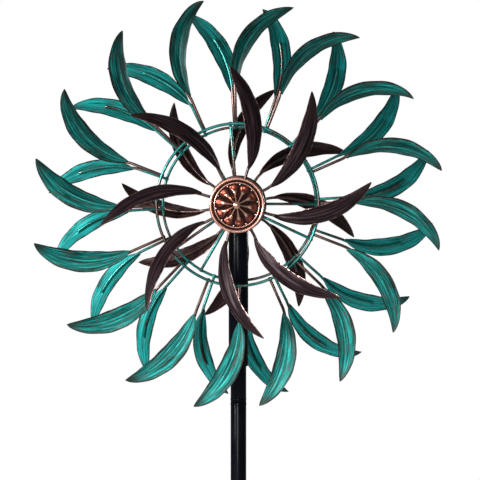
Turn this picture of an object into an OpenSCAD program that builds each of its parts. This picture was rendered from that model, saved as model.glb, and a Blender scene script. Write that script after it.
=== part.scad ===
// Garden wind spinner: two bladed wheels, one at each end of an axle, on a head that swivels on a pole.
// Origin: on the pole axis at the ground line, where the ground spike leaves the stake hub. +Z is up.
// The front wheel faces -Y and the rear wheel faces +Y.

/* [Whole spinner] */
// Height of the wheel axle above the ground
axle_h = 1400; // [1200:10:1500]
// Depth of the ground spike below the ground
spike_depth = 200; // [150:10:260]

/* [Pole] */
// Outer diameter of the pole sections
pole_d = 24; // [22:0.5:25]
// Wall thickness of the pole sections
pole_wall = 1.5; // [1:0.1:2]
// Height of the lower joint between pole sections
low_joint_h = 558; // [450:1:620]
// Height of the upper joint between pole sections
high_joint_h = 1098; // [1060:1:1110]

/* [Swivel head] */
// Outer diameter of the sleeve that turns on the pole
sleeve_d = 30; // [29.5:0.1:32]
// Wall thickness of the sleeve
sleeve_wall = 1.2; // [1:0.1:1.3]
// Distance from the axle down to the lower end of the sleeve
sleeve_drop = 245; // [200:1:260]
// Outer diameter of the cross tube that holds the axle
boss_d = 22; // [20:0.5:24]
// Axle diameter
axle_d = 10; // [9.8:0.1:10]

/* [Wheel] */
// Radius of the wheel ring, to the middle of its rod
ring_r = 120; // [116:1:124]
// Distance of the ring from the pole axis, along the axle
ring_z = 51; // [51:1:54]
// Diameter of the ring, spoke and stem rods
rod_d = 4.4; // [4:0.1:4.6]
// Radius of the hub disc
disc_r = 44; // [42:1:48]

/* [Outer leaves] */
// Number of outer leaves on a wheel
outer_count = 16; // [16]
// Radius at which an outer leaf starts
outer_base_r = 175; // [172:1:180]
// Radius of the arc that an outer leaf follows
outer_arc_r = 133; // [128:1:138]
// Angle that the arc of an outer leaf turns through
outer_sweep = 64.7; // [60:0.1:68]
// How far an outer leaf leans out along the axle from base to tip
outer_rise = 13; // [8:1:16]
// Pitch of the outer leaves against the wheel's plane
outer_pitch = 41; // [32:1:50]

/* [Inner leaves] */
// Number of inner leaves on a wheel
inner_count = 8; // [8]
// Radius at which an inner leaf starts
inner_base_r = 57; // [54:1:60]
// Radius of the arc that an inner leaf follows
inner_arc_r = 131; // [126:1:136]
// Angle that the arc of an inner leaf turns through
inner_sweep = 67; // [62:0.1:70]
// How far an inner leaf leans out along the axle from base to tip
inner_rise = 71; // [60:1:74]
// Pitch of the inner leaves against the wheel's plane
inner_pitch = 44; // [36:1:50]

/* [Leaf sheet] */
// Greatest width of an outer leaf
outer_leaf_w = 36; // [32:1:38]
// Greatest width of an inner leaf
inner_leaf_w = 28; // [24:1:32]
// Thickness of the leaf sheet
leaf_t = 1; // [0.8:0.1:1.2]
// Share of the leaf's length that the stem is welded along
stem_share = 0.6; // [0.5:0.05:0.7]

/* [Rosette cap] */
// Outer radius of the cap's rolled rim
cap_r = 40.6; // [39:0.1:42]
// Radius of the roll itself
rim_rod_r = 2.2; // [1.8:0.1:2.8]
// Number of petals in the rosette
petals = 10; // [8:1:12]

/* [Hidden] */

// Angles of the first outer leaf, inner leaf and spoke on each wheel, as seen facing that wheel
FRONT_PHASE = [1.2, -16.3, 95];
REAR_PHASE = [-3.5, -10.7, 60];

// A gap between pieces that are welded or pressed together
touch = 0.05;
// Radial clearance of a running fit
running = 0.06;

// Stake: hub block, side tines and the spigot that the pole slides over
hub_block_r = 18;
hub_block_h = 20;
spike_r = 8;
spike_tip = 30;
spigot_h = 80;
tine_r = 5;
tine_x = 80;
tine_bend_r = 15;
tine_tip = 25;
tine_depth = spike_depth - 20;

// Pole sections, joint rings and the couplers inside the joints
pole_r = pole_d / 2;
pole_bore_r = pole_r - pole_wall;
pole_top = axle_h - 48;
ring_half = 5;
coupler_half = 60;
coupler_wall = 1.5;
screw_r = 2.4;
screw_head_r = 4.5;
screw_head_t = 2.5;
screw_offset = 30;

// Swivel head
sleeve_r = sleeve_d / 2;
sleeve_bore_r = sleeve_r - sleeve_wall;
sleeve_bottom = axle_h - sleeve_drop;
sleeve_top = axle_h + 24;
bush_len = 25;
bush_flange = 2;
plug_flange = 4;
ball_r = 4;
ball_z = pole_top + plug_flange + 2.5;
seat_z = ball_z + ball_r + 0.3;
seat_t = 6;
boss_half = 36;

// Bearings and hub, measured along the axle from the pole axis
axle_r = axle_d / 2;
bearing_w = 9;
bearing_r = 15;
bearing_starts = [40.5, 57.5];
outer_land_r = 11.4;
inner_land_r = 8.6;
bearing_ball_r = 2.3;
bearing_balls_r = 10;
balls_per_bearing = 8;
barrel_r = 18;
barrel_from = 39;
barrel_to = 68;
washer_t = 1.5;
nut_h = 9;
nut_corner_r = 9.8;
axle_half = bearing_starts[1] + bearing_w + washer_t + nut_h + 2;

// Wheel rods: the outer stems and spokes lie behind the ring, the inner stems in front of the disc
rod_r = rod_d / 2;
stem_z = ring_z - rod_d - touch;
disc_from = stem_z + rod_r;
disc_t = 2;
inner_stem_z = disc_from + disc_t + rod_r;
weld_lap = 2.5;

// Cap: cup, rim, and a rosette plate with a fine bead inside the rim
cap_back_z = 66;
cap_rim_z = 80;
cup_mid_r = cap_r - rim_rod_r;
cup_wall = 1.2;
rosette_r = cap_r - 2 * rim_rod_r - 0.2;
bead_r = 0.9;
bead_in = 2.6;

// Leaf outline: a sine arch, pushed towards the base by this power and rounded by this fullness
arch_push = 0.95;
fullness = 0.68;
leaf_rings = 10;
leaf_end_half = 0.7;
camber = 0.16;
stem_gap = 0.2;
stem_sides = 8;

function unit(v) = v / norm(v);

// A leaf is [base radius, arc radius, sweep, turn (+1 anticlockwise), rise, pitch, stem z, width]
OUTER = [outer_base_r, outer_arc_r, outer_sweep, -1, outer_rise, outer_pitch, stem_z, outer_leaf_w];
INNER = [inner_base_r, inner_arc_r, inner_sweep, 1, inner_rise, inner_pitch, inner_stem_z,
         inner_leaf_w];

// Half of the leaf's width at share t of its length
function leaf_half(k, t) =
    let (u = min(max(t, 0), 1), arch = max(sin(180 * pow(u, arch_push)), 0))
    max(leaf_end_half, k[7] / 2 * pow(arch, fullness));

// Middle line of the stem, carried on to the leaf's tip: an arc that leaves the radial line at the
// leaf's base and rises evenly
function stem_line(k, t) =
    let (s = k[2] * t)
    [k[0] + k[1] * sin(s), k[3] * k[1] * (1 - cos(s)), k[6] + k[4] * t];
function stem_way(k, t) =
    let (s = k[2] * t) [cos(s), k[3] * sin(s), k[4] / (k[1] * k[2] * PI / 180)];

// Unit vectors across the leaf, towards its anticlockwise edge, and out of its front face
function leaf_across(k, t) =
    let (s = k[2] * t)
    [-k[3] * sin(s) * cos(k[5]), cos(s) * cos(k[5]), sin(k[5])];
function leaf_out(k, t) = unit(cross(stem_way(k, t), leaf_across(k, t)));

// Point on the middle line of the leaf sheet, which lies on the front of its stem
function leaf_mid(k, t) = stem_line(k, t) + leaf_out(k, t) * (leaf_t / 2 + rod_r + stem_gap);

// Six points round the sheet's section: front edge to edge, then back again
function leaf_section(k, t) =
    let (half_w = leaf_half(k, t), m = leaf_mid(k, t), w = leaf_across(k, t) * half_w,
         f = leaf_out(k, t), drop = f * camber * half_w, half = f * leaf_t / 2)
    [m - w - drop + half, m + half, m + w - drop + half,
     m + w - drop - half, m - half, m - w - drop - half];

// Triangles that join rings of n points into one closed skin
function skin_faces(rings, n) = concat(
    [for (i = [1:n - 2]) [0, i, i + 1]],
    [for (i = [1:n - 2]) [(rings - 1) * n, (rings - 1) * n + i + 1, (rings - 1) * n + i]],
    [for (r = [0:rings - 2], i = [0:n - 1]) [r * n + i, (r + 1) * n + i, r * n + (i + 1) % n]],
    [for (r = [0:rings - 2], i = [0:n - 1])
        [(r + 1) * n + i, (r + 1) * n + (i + 1) % n, r * n + (i + 1) % n]]);

// One leaf, at angle 0
module leaf(k) {
    points = [for (i = [0:leaf_rings]) each leaf_section(k, i / leaf_rings)];
    polyhedron(points, skin_faces(leaf_rings + 1, 6), convexity = 4);
}

// One stem: straight out from radius start, then along the back of the leaf
module stem(k, start) {
    path = concat([[start, 0, k[6]], [k[0] - 8, 0, k[6]]],
        [for (i = [0:round(stem_share * leaf_rings)]) stem_line(k, i / leaf_rings)]);
    last = len(path) - 1;
    points = [for (i = [0:last])
        let (t = unit(path[min(i + 1, last)] - path[max(i - 1, 0)]),
             s = unit(cross([0, 0, 1], t)), u = cross(t, s))
        each [for (j = [0:stem_sides - 1])
            path[i] + rod_r * (cos(360 * j / stem_sides) * s + sin(360 * j / stem_sides) * u)]];
    polyhedron(points, skin_faces(last + 1, stem_sides), convexity = 4);
}

// A tube along Z
module tube(outer, inner, from, to) {
    translate([0, 0, from]) difference() {
        cylinder(r = outer, h = to - from, $fn = 96);
        translate([0, 0, -1]) cylinder(r = inner, h = to - from + 2, $fn = 96);
    }
}

// Sets a wheel piece, drawn along +Z and seen from +Z, on the front or rear end of the axle
module on_front() {
    translate([0, 0, axle_h]) rotate([90, 0, 0]) children();
}
module on_rear() {
    translate([0, 0, axle_h]) rotate([0, 0, 180]) rotate([90, 0, 0]) children();
}

// Hole for a joint screw, from the back of the pole to its axis
module screw_hole(z) {
    translate([0, 0, z]) rotate([-90, 0, 0]) cylinder(r = screw_r + touch, h = pole_r + 5, $fn = 32);
}

// ---- Stake and pole ----

module ground_spike() {
    color("#1d1f24") rotate_extrude($fn = 64)
        polygon([[0, 0], [spike_r, 0], [spike_r, spike_tip - spike_depth], [0, -spike_depth]]);
}

module stake_hub() {
    spigot_r = pole_bore_r - touch;
    color("#1d1f24") difference() {
        union() {
            cylinder(r = hub_block_r, h = hub_block_h, $fn = 96);
            cylinder(r = spigot_r, h = hub_block_h + spigot_h, $fn = 96);
        }
        translate([-30, 0, hub_block_h / 2]) rotate([0, 90, 0])
            cylinder(r = tine_r + touch, h = 60, $fn = 64);
        screw_hole(hub_block_h + screw_offset);
    }
}

// One bent bar through the hub block: step bar across, two pointed tines down
module fork_tines() {
    bar_z = hub_block_h / 2;
    straight = tine_x - tine_bend_r;
    color("#1d1f24") {
        union() {
            translate([-straight, 0, bar_z]) rotate([0, 90, 0])
                cylinder(r = tine_r, h = 2 * straight, $fn = 48);
            for (side = [0, 180]) rotate([0, 0, side]) {
                translate([straight, 0, bar_z - tine_bend_r]) rotate([90, 0, 0])
                    rotate_extrude(angle = 90, $fn = 96)
                        translate([tine_bend_r, 0]) circle(r = tine_r, $fn = 48);
                translate([tine_x, 0, 0]) rotate_extrude($fn = 48)
                    polygon([[0, bar_z - tine_bend_r], [tine_r, bar_z - tine_bend_r],
                             [tine_r, tine_tip - tine_depth], [0, -tine_depth]]);
            }
        }
    }
}

module pole_section(from, to, screws) {
    color("#14161b") difference() {
        tube(pole_r, pole_bore_r, from, to);
        for (z = screws) screw_hole(z);
    }
}

module lower_pole() {
    pole_section(hub_block_h, low_joint_h - ring_half,
        [hub_block_h + screw_offset, low_joint_h - screw_offset]);
}

module middle_pole() {
    pole_section(low_joint_h + ring_half, high_joint_h - ring_half,
        [low_joint_h + screw_offset, high_joint_h - screw_offset]);
}

module upper_pole() {
    pole_section(high_joint_h + ring_half, pole_top, [high_joint_h + screw_offset]);
}

module coupler(z) {
    outer = pole_bore_r - touch;
    color("#8d9096") difference() {
        tube(outer, outer - coupler_wall, z - coupler_half, z + coupler_half);
        screw_hole(z - screw_offset);
        screw_hole(z + screw_offset);
    }
}

module joint_rings() {
    color("#1b1d22") for (z = [low_joint_h, high_joint_h])
        tube(pole_r + 0.3, pole_bore_r + touch, z - ring_half, z + ring_half);
}

module joint_screws() {
    tip_y = pole_bore_r - coupler_wall - 3;
    heights = [hub_block_h + screw_offset, low_joint_h - screw_offset, low_joint_h + screw_offset,
               high_joint_h - screw_offset, high_joint_h + screw_offset];
    color("#2a2c30") for (z = heights) translate([0, 0, z]) rotate([-90, 0, 0]) difference() {
        union() {
            translate([0, 0, tip_y]) cylinder(r = screw_r, h = pole_r + 1 - tip_y, $fn = 32);
            translate([0, 0, pole_r + touch])
                cylinder(r = screw_head_r, h = screw_head_t, $fn = 48);
        }
        translate([0, 0, pole_r + 1]) cylinder(r = 1.7, h = 4, $fn = 6);
    }
}

module pivot_plug() {
    color("#9a9da3") difference() {
        union() {
            translate([0, 0, pole_top - 20]) cylinder(r = pole_bore_r - touch, h = 20, $fn = 96);
            translate([0, 0, pole_top]) cylinder(r = pole_r - 0.5, h = plug_flange, $fn = 96);
        }
        translate([0, 0, ball_z]) sphere(r = ball_r + touch, $fn = 64);
    }
}

module pivot_ball() {
    color("#c9ccd1") translate([0, 0, ball_z]) sphere(r = ball_r, $fn = 64);
}

// ---- Swivel head ----

module head_sleeve() {
    color("#14161b") difference() {
        tube(sleeve_r, sleeve_bore_r, sleeve_bottom, sleeve_top);
        translate([0, 30, axle_h]) rotate([90, 0, 0])
            cylinder(r = boss_d / 2 + touch, h = 60, $fn = 96);
    }
}

module lower_bush() {
    color("#1d1e20") {
        union() {
            tube(sleeve_bore_r - touch, pole_r + running, sleeve_bottom, sleeve_bottom + bush_len);
            tube(sleeve_r - 0.5, pole_r + running, sleeve_bottom - bush_flange, sleeve_bottom);
        }
    }
}

module upper_bush() {
    from = pole_top - 32;
    color("#1d1e20") tube(sleeve_bore_r - touch, pole_r + running, from, from + bush_len);
}

module thrust_seat() {
    color("#9a9da3") translate([0, 0, seat_z])
        cylinder(r = sleeve_bore_r - touch, h = seat_t, $fn = 96);
}

module cross_tube() {
    color("#14161b") translate([0, 0, axle_h]) rotate([90, 0, 0])
        tube(boss_d / 2, axle_r + touch, -boss_half, boss_half);
}

module head_cap() {
    color("#14161b") translate([0, 0, sleeve_top]) rotate_extrude($fn = 96)
        polygon([[0, -8], [sleeve_bore_r - touch, -8], [sleeve_bore_r - touch, 0],
                 [sleeve_r, 0], [sleeve_r, 1], [sleeve_r - 4, 3], [0, 4]]);
}

module axle() {
    color("#a9acb1") translate([0, axle_half, axle_h]) rotate([90, 0, 0])
        cylinder(r = axle_r, h = 2 * axle_half, $fn = 96);
}

module axle_spacers() {
    color("#a9acb1") {
        on_front() tube(8, axle_r + touch, boss_half, bearing_starts[0]);
        on_rear() tube(8, axle_r + touch, boss_half, bearing_starts[0]);
    }
}

module axle_washers() {
    from = bearing_starts[1] + bearing_w;
    color("#b9bcc1") {
        on_front() tube(8, axle_r + touch, from, from + washer_t);
        on_rear() tube(8, axle_r + touch, from, from + washer_t);
    }
}

module lock_nut() {
    from = bearing_starts[1] + bearing_w + washer_t;
    translate([0, 0, from]) difference() {
        union() {
            cylinder(r = nut_corner_r, h = nut_h - 3, $fn = 6);
            cylinder(r = nut_corner_r - 2, h = nut_h, $fn = 64);
        }
        translate([0, 0, -1]) cylinder(r = axle_r + touch, h = nut_h + 2, $fn = 64);
    }
}

module axle_lock_nuts() {
    color("#b9bcc1") {
        on_front() lock_nut();
        on_rear() lock_nut();
    }
}

// ---- Bearings ----

// Ring-shaped groove that the balls run in
module ball_groove(from, r) {
    translate([0, 0, from + bearing_w / 2]) rotate_extrude($fn = 96)
        translate([bearing_balls_r, 0]) circle(r = r, $fn = 48);
}

module outer_races() {
    color("#b9bcc1") for (from = bearing_starts) difference() {
        tube(bearing_r, outer_land_r, from, from + bearing_w);
        ball_groove(from, bearing_ball_r + 0.15);
    }
}

module inner_races() {
    color("#b9bcc1") for (from = bearing_starts) difference() {
        tube(inner_land_r, axle_r + touch, from, from + bearing_w);
        ball_groove(from, bearing_ball_r + 0.3);
    }
}

module bearing_balls() {
    color("#d3d5d9") for (from = bearing_starts, i = [0:balls_per_bearing - 1])
        rotate([0, 0, 360 * i / balls_per_bearing])
            translate([bearing_balls_r, 0, from + bearing_w / 2])
                sphere(r = bearing_ball_r, $fn = 32);
}

module race_spacer() {
    color("#a9acb1") tube(7, axle_r + touch, bearing_starts[0] + bearing_w, bearing_starts[1]);
}

// ---- Wheel ----

// Tube with a bearing seat at each end and a shoulder between them
module hub_barrel() {
    seat_r = bearing_r + touch;
    color("#2f7f74") difference() {
        tube(barrel_r, bearing_r - 2, barrel_from, barrel_to);
        translate([0, 0, barrel_from - 1])
            cylinder(r = seat_r, h = bearing_starts[0] + bearing_w - barrel_from + 1, $fn = 96);
        translate([0, 0, bearing_starts[1]])
            cylinder(r = seat_r, h = barrel_to - bearing_starts[1] + 1, $fn = 96);
    }
}

module hub_disc() {
    color("#2f7f74") tube(disc_r, barrel_r + touch, disc_from, disc_from + disc_t);
}

module spokes(phase) {
    from = barrel_r + 0.5;
    color("#2f7f74") for (i = [0:2]) rotate([0, 0, phase[2] + 120 * i])
        translate([from, 0, stem_z]) rotate([0, 90, 0])
            cylinder(r = rod_r, h = ring_r + weld_lap / 2 - from, $fn = 32);
}

module ring() {
    color("#5d6f66") translate([0, 0, ring_z]) rotate_extrude($fn = 128)
        translate([ring_r, 0]) circle(r = rod_r, $fn = 32);
}

module outer_stems(phase) {
    color("#7d6a5c") for (i = [0:outer_count - 1])
        rotate([0, 0, phase[0] + 360 / outer_count * i]) stem(OUTER, ring_r - weld_lap);
}

module inner_stems(phase) {
    color("#7d6a5c") for (i = [0:inner_count - 1])
        rotate([0, 0, phase[1] + 360 / inner_count * i]) stem(INNER, barrel_r + 3);
}

// A quarter of the outer leaves: quarter 1 starts at the first leaf
module outer_leaves(phase, quarter) {
    each_quarter = outer_count / 4;
    color("#1c7a70") for (i = [0:each_quarter - 1])
        rotate([0, 0, phase[0] + 360 / outer_count * (i + (quarter - 1) * each_quarter)])
            leaf(OUTER);
}

module inner_leaves(phase) {
    color("#33262a") for (i = [0:inner_count - 1])
        rotate([0, 0, phase[1] + 360 / inner_count * i]) leaf(INNER);
}

// ---- Rosette cap ----

// Cup pressed over the end of the hub barrel
module cap_cup() {
    outer = cup_mid_r + cup_wall / 2;
    inner = cup_mid_r - cup_wall / 2;
    slope = 4.5;
    top = cap_rim_z - rim_rod_r - touch;
    color("#b5694f") rotate_extrude($fn = 96)
        polygon([[barrel_r + touch, cap_back_z], [outer - slope, cap_back_z],
                 [outer, cap_back_z + slope], [outer, top], [inner, top],
                 [inner, cap_back_z + slope + 0.5], [outer - slope - 0.5, cap_back_z + cup_wall],
                 [barrel_r + touch, cap_back_z + cup_wall]]);
}

module cap_rim() {
    color("#c97a5e") translate([0, 0, cap_rim_z]) rotate_extrude($fn = 128)
        translate([cap_r - rim_rod_r, 0]) circle(r = rim_rod_r, $fn = 48);
}

// Dished plate with a fine bead inside its edge and a raised petal spine for each petal
module cap_rosette() {
    back = cap_rim_z - 0.4;
    floor_r = rosette_r - bead_in - bead_r;
    color("#b5694f") difference() {
        union() {
            rotate_extrude($fn = 96)
                polygon([[0, back], [rosette_r, back], [rosette_r, back + 1], [floor_r, back + 1],
                         [rosette_r * 0.5, back + 3.6], [0, back + 2.2]]);
            translate([0, 0, back + 1.2]) rotate_extrude($fn = 96)
                translate([rosette_r - bead_in, 0]) circle(r = bead_r, $fn = 24);
            for (i = [0:petals - 1]) rotate([0, 0, 360 / petals * i])
                translate([4, 0, back + 2]) rotate([0, 90, 0])
                    cylinder(r = 1.6, h = rosette_r - 11, $fn = 24);
        }
        translate([0, 0, back - 1]) cylinder(r = 2.1, h = 10, $fn = 32);
    }
}

module cap_rivet() {
    back = cap_rim_z - 0.4;
    color("#c97a5e") rotate_extrude($fn = 48)
        polygon([[0, back], [2, back], [2, back + 3.7], [4.4, back + 3.7], [4.4, back + 4.6],
                 [3, back + 6.2], [0, back + 6.8]]);
}

ground_spike();
fork_tines();
stake_hub();
lower_pole();
middle_pole();
upper_pole();
coupler(low_joint_h);  // lower_coupler
coupler(high_joint_h);  // upper_coupler
joint_rings();
joint_screws();
pivot_plug();
pivot_ball();
head_sleeve();
lower_bush();
upper_bush();
thrust_seat();
cross_tube();
axle();
head_cap();
axle_spacers();
axle_washers();
axle_lock_nuts();
on_front() inner_races();  // front_inner_races
on_front() race_spacer();  // front_race_spacer
on_rear() inner_races();  // rear_inner_races
on_rear() race_spacer();  // rear_race_spacer
on_front() hub_barrel();  // front_hub_barrel
on_front() outer_races();  // front_outer_races
on_front() bearing_balls();  // front_bearing_balls
on_front() hub_disc();  // front_hub_disc
on_front() spokes(FRONT_PHASE);  // front_spokes
on_front() ring();  // front_ring
on_front() outer_stems(FRONT_PHASE);  // front_outer_stems
on_front() inner_stems(FRONT_PHASE);  // front_inner_stems
on_front() outer_leaves(FRONT_PHASE, 1);  // front_outer_leaves_1
on_front() outer_leaves(FRONT_PHASE, 2);  // front_outer_leaves_2
on_front() outer_leaves(FRONT_PHASE, 3);  // front_outer_leaves_3
on_front() outer_leaves(FRONT_PHASE, 4);  // front_outer_leaves_4
on_front() inner_leaves(FRONT_PHASE);  // front_inner_leaves
on_front() cap_cup();  // front_cap_cup
on_front() cap_rosette();  // front_cap_rosette
on_front() cap_rim();  // front_cap_rim
on_front() cap_rivet();  // front_cap_rivet
on_rear() hub_barrel();  // rear_hub_barrel
on_rear() outer_races();  // rear_outer_races
on_rear() bearing_balls();  // rear_bearing_balls
on_rear() hub_disc();  // rear_hub_disc
on_rear() spokes(REAR_PHASE);  // rear_spokes
on_rear() ring();  // rear_ring
on_rear() outer_stems(REAR_PHASE);  // rear_outer_stems
on_rear() inner_stems(REAR_PHASE);  // rear_inner_stems
on_rear() outer_leaves(REAR_PHASE, 1);  // rear_outer_leaves_1
on_rear() outer_leaves(REAR_PHASE, 2);  // rear_outer_leaves_2
on_rear() outer_leaves(REAR_PHASE, 3);  // rear_outer_leaves_3
on_rear() outer_leaves(REAR_PHASE, 4);  // rear_outer_leaves_4
on_rear() inner_leaves(REAR_PHASE);  // rear_inner_leaves
on_rear() cap_cup();  // rear_cap_cup
on_rear() cap_rosette();  // rear_cap_rosette
on_rear() cap_rim();  // rear_cap_rim
on_rear() cap_rivet();  // rear_cap_rivet
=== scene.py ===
"""A garden wind spinner: two wheels of painted willow leaves on a head that swivels on a pole.

Metres, +Z up, ground line at zero. The front wheel faces -Y. Pieces are added in the order that the
spinner is put together: stake, pole, head, axle and bearings, then the two wheels from the hub out.
"""
import math
import random

import bmesh
import bpy
from mathutils import Matrix, Vector


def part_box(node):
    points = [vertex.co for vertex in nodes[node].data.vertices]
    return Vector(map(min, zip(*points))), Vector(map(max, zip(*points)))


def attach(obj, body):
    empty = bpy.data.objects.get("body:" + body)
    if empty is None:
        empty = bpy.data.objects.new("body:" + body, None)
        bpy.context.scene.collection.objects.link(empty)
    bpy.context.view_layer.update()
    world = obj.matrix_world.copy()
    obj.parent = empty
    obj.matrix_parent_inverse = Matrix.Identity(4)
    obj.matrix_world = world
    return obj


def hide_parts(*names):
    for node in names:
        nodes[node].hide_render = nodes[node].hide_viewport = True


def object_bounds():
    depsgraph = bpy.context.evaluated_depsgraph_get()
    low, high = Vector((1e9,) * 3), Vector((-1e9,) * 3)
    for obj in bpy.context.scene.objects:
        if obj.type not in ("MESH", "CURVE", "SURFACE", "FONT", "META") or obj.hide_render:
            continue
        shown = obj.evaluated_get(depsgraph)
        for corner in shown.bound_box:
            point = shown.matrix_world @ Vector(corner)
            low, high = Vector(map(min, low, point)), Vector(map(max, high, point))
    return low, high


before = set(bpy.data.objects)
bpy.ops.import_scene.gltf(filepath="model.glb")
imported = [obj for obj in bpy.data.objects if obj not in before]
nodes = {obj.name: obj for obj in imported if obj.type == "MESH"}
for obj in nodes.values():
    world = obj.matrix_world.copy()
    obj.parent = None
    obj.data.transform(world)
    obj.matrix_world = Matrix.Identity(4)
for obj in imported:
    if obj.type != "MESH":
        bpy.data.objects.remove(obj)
cad_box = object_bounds()

# ----------------------------------------------------------
# Stake. A turned steel hub block, a pointed spike and one bent bar with a pointed tine at each
# end, welded together and powder coated black. It is pushed into the ground up to the block.


def spin_round(bm, geometry, steps):
    """Carries geometry all the way round Z."""
    bmesh.ops.spin(bm, geom=geometry, cent=(0, 0, 0), axis=(0, 0, 1), dvec=(0, 0, 0),
                   angle=2 * math.pi, steps=steps, use_merge=True)


def merge(bm, within=1e-6):
    """Joins vertices that lie in the same place."""
    bmesh.ops.remove_doubles(bm, verts=list(bm.verts), dist=within)


def turned(bm, outline, steps=96):
    """Turns an outline of (radius, height) points about Z. Points on the axis close the ends."""
    corners = [bm.verts.new((radius, 0, height)) for radius, height in outline]
    pairs = list(zip(corners, corners[1:]))
    if outline[0][0] > 0 or outline[-1][0] > 0:
        pairs.append((corners[-1], corners[0]))
    sides = [bm.edges.new(pair) for pair in pairs]
    spin_round(bm, corners + sides, steps)
    merge(bm)


def ease_edges(bm, width, segments=2, sharper_than=40):
    """Rounds every edge that turns more sharply than this many degrees."""
    sharp = [e for e in bm.edges
             if len(e.link_faces) == 2 and e.calc_face_angle(0) > math.radians(sharper_than)]
    bmesh.ops.bevel(bm, geom=sharp, offset=width, offset_type="OFFSET", affect="EDGES",
                    segments=segments, profile=0.5, material=-1, clamp_overlap=True)


def turn_about(bm, verts, angle, axis="Z"):
    """Turns vertices about one of the main axes."""
    bmesh.ops.rotate(bm, cent=(0, 0, 0), matrix=Matrix.Rotation(angle, 3, axis), verts=verts)


def finished(bm, name, body, finish, replaced=(), crease=38, place=None):
    """Makes the mesh, once in place, a smooth object with crisp corners that rides on a body."""
    if place:
        bmesh.ops.transform(bm, matrix=place, verts=list(bm.verts))
    bmesh.ops.recalc_face_normals(bm, faces=list(bm.faces))
    for face in bm.faces:
        face.smooth = True
    for edge in bm.edges:
        edge.smooth = edge.calc_face_angle(0) < math.radians(crease)
    mesh = bpy.data.meshes.new(name)
    bm.to_mesh(mesh)
    bm.free()
    piece = bpy.data.objects.new(name, mesh)
    bpy.context.scene.collection.objects.link(piece)
    mesh.materials.append(finish)
    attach(piece, body)
    if replaced:
        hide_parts(*replaced)
    return piece


def new_node(tree, kind, values=None, **settings):
    """Adds a shader node, with its settings and the values of its unlinked sockets."""
    made = tree.nodes.new("ShaderNode" + kind)
    for key, value in settings.items():
        setattr(made, key, value)
    for key, value in (values or {}).items():
        made.inputs[key].default_value = value
    return made


def wire(source, output, target, socket):
    """Links an output of one node to an input of another."""
    source.id_data.links.new(source.outputs[output], target.inputs[socket])


def calc(source, output, operation, values=None):
    """Does a sum on a node's output, with these values on the other inputs."""
    made = new_node(source.id_data, "Math", values, operation=operation)
    wire(source, output, made, 0)
    return made


def new_group(name, takes, gives):
    """A shader node group: takes is {name: (kind, value)}, gives is {name: kind}."""
    tree = bpy.data.node_groups.new(name, "ShaderNodeTree")
    for socket_name, (kind, value) in takes.items():
        socket = tree.interface.new_socket(socket_name, in_out="INPUT",
                                           socket_type="NodeSocket" + kind)
        if value is not None:
            socket.default_value = value
    for socket_name, kind in gives.items():
        tree.interface.new_socket(socket_name, in_out="OUTPUT", socket_type="NodeSocket" + kind)
    return tree, tree.nodes.new("NodeGroupInput"), tree.nodes.new("NodeGroupOutput")


def new_finish(name, values):
    """A material with a Principled shader and the plain values of its sockets."""
    made = bpy.data.materials.new(name)
    made.use_nodes = True
    shader = made.node_tree.nodes["Principled BSDF"]
    for key, value in values.items():
        shader.inputs[key].default_value = value
    return made, made.node_tree, shader


def ramp(source, output, stops):
    """A colour ramp over a node's output, with stops of (position, (r, g, b))."""
    made = source.id_data.nodes.new("ShaderNodeValToRGB")
    wire(source, output, made, "Fac")
    elements = made.color_ramp.elements
    while len(elements) < len(stops):
        elements.new(0.5)
    for element, (position, colour) in zip(elements, stops):
        element.position = position
        element.color = (*colour, 1)
    return made


def laid_over(base, base_output, mask, mask_output, colour):
    """Lays a colour over another one wherever a mask is high."""
    mixed = new_node(base.id_data, "Mix", {"B": (*colour, 1)}, data_type="RGBA")
    wire(mask, mask_output, mixed, "Factor")
    wire(base, base_output, mixed, "A")
    return mixed


def ranged(source, output, shader, socket, values):
    """Sets one value of a shader from a mask, over a range."""
    spread = new_node(shader.id_data, "MapRange", values)
    wire(source, output, spread, "Value")
    wire(spread, "Result", shader, socket)


def raised(source, output, shader, strength, distance):
    """Gives a shader fine relief from a height."""
    bump = new_node(shader.id_data, "Bump", {"Strength": strength, "Distance": distance})
    wire(source, output, bump, "Height")
    wire(bump, "Normal", shader, "Normal")


# Coating group: the slight orange peel, cloudy gloss and fine dust of a sprayed or baked finish.
coating, takes, gives = new_group(
    "coating",
    {"Vector": ("Vector", None), "Peel size": ("Float", 900.0), "Cloud size": ("Float", 30.0)},
    {"Height": "Float", "Cloud": "Float", "Speck": "Float"})
peel = new_node(coating, "TexNoise", {"Detail": 2.0, "Roughness": 0.5})
cloud = new_node(coating, "TexNoise", {"Detail": 5.0, "Roughness": 0.6})
speck = new_node(coating, "TexNoise", {"Scale": 260.0, "Detail": 6.0, "Roughness": 0.7})
speck_cut = new_node(coating, "MapRange", {"From Min": 0.6, "From Max": 0.74})
for noise in (peel, cloud, speck):
    wire(takes, "Vector", noise, "Vector")
wire(takes, "Peel size", peel, "Scale")
wire(takes, "Cloud size", cloud, "Scale")
wire(speck, "Fac", speck_cut, "Value")
wire(peel, "Fac", gives, "Height")
wire(cloud, "Fac", gives, "Cloud")
wire(speck_cut, "Result", gives, "Speck")


DUST = (0.16, 0.12, 0.08)
SOIL_FROM, SOIL_FULL = 0.16, -0.12


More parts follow.
